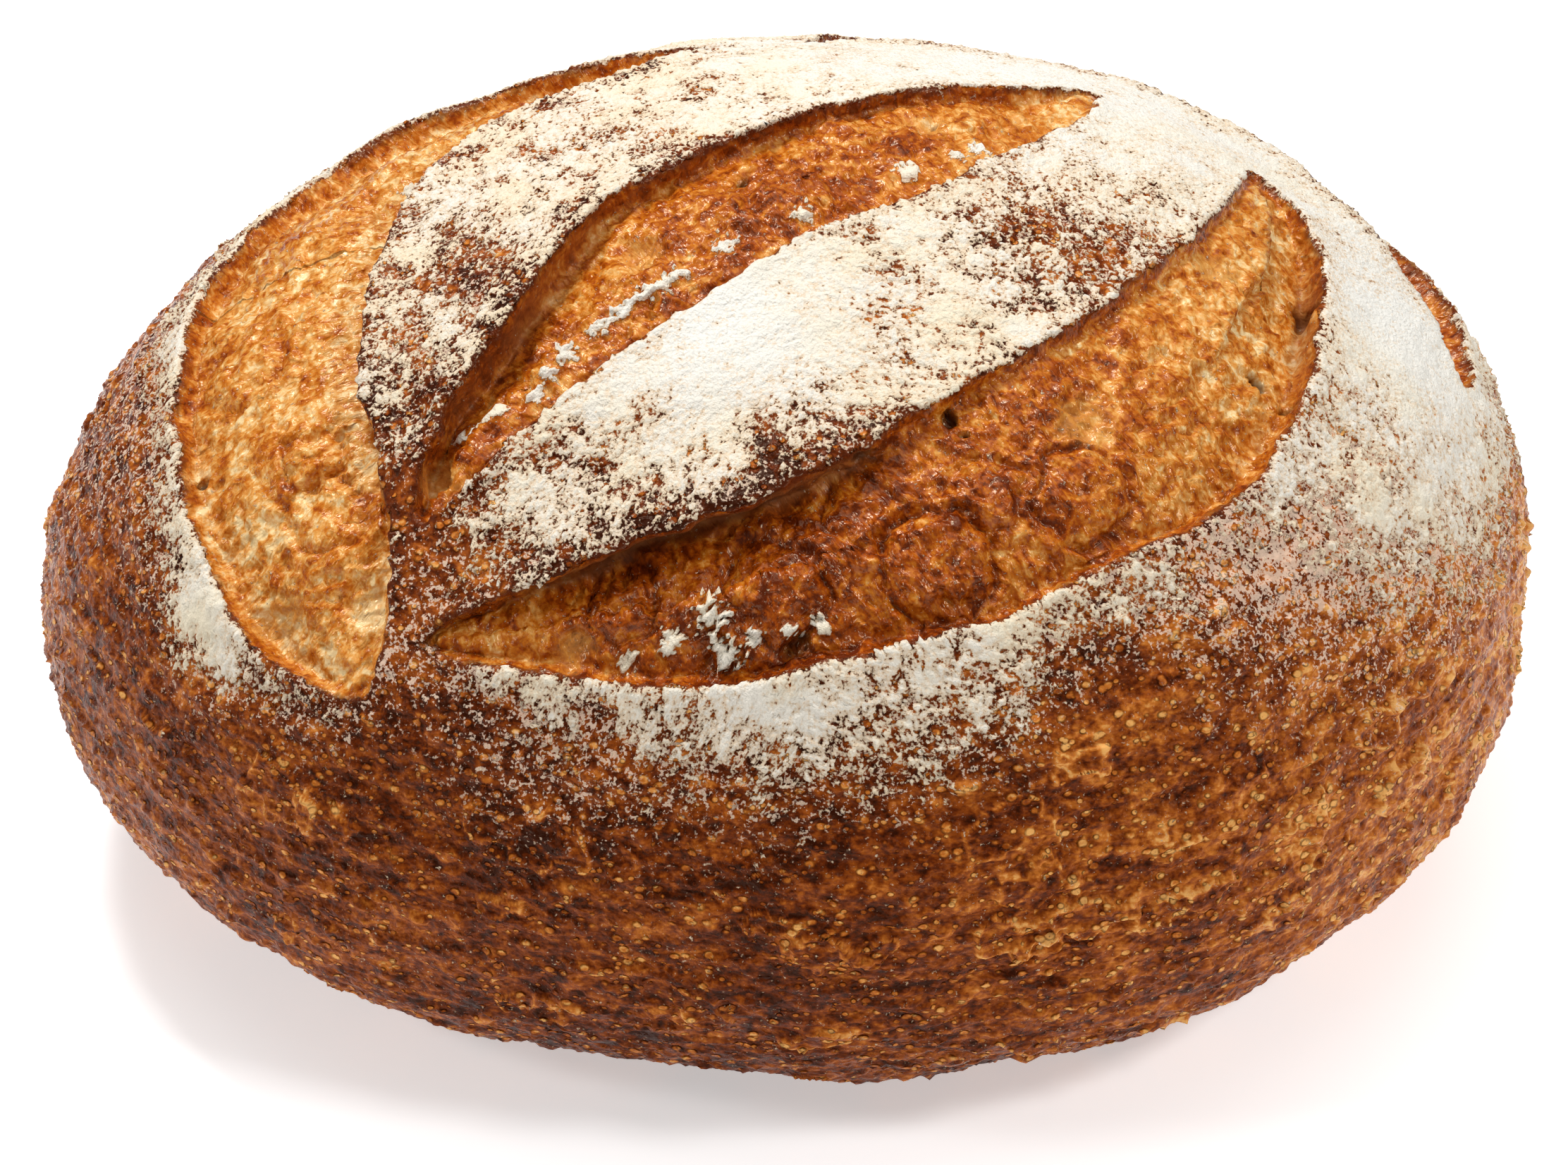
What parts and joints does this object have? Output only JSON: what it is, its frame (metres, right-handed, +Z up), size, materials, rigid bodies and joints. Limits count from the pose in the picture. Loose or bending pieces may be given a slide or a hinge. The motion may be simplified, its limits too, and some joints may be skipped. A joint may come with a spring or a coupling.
{
  "type": "sourdough loaf",
  "caption": "Oval sourdough loaf: a domed, floured crust with open blade scores and dark rounded sides, resting on a small flat spot under its middle.",
  "frame": {"origin": "middle of the bounding box's bottom face, which is the plane of the loaf's resting spot", "axes": "+Z up through the crown, +X along the loaf's longest extent, +Y across it"},
  "size_m": [0.2498, 0.2102, 0.1295],
  "materials": {
    "crust": "matte"
  },
  "bodies": {
    "root": {"loaf": "crust"}
  },
  "joints": []
}
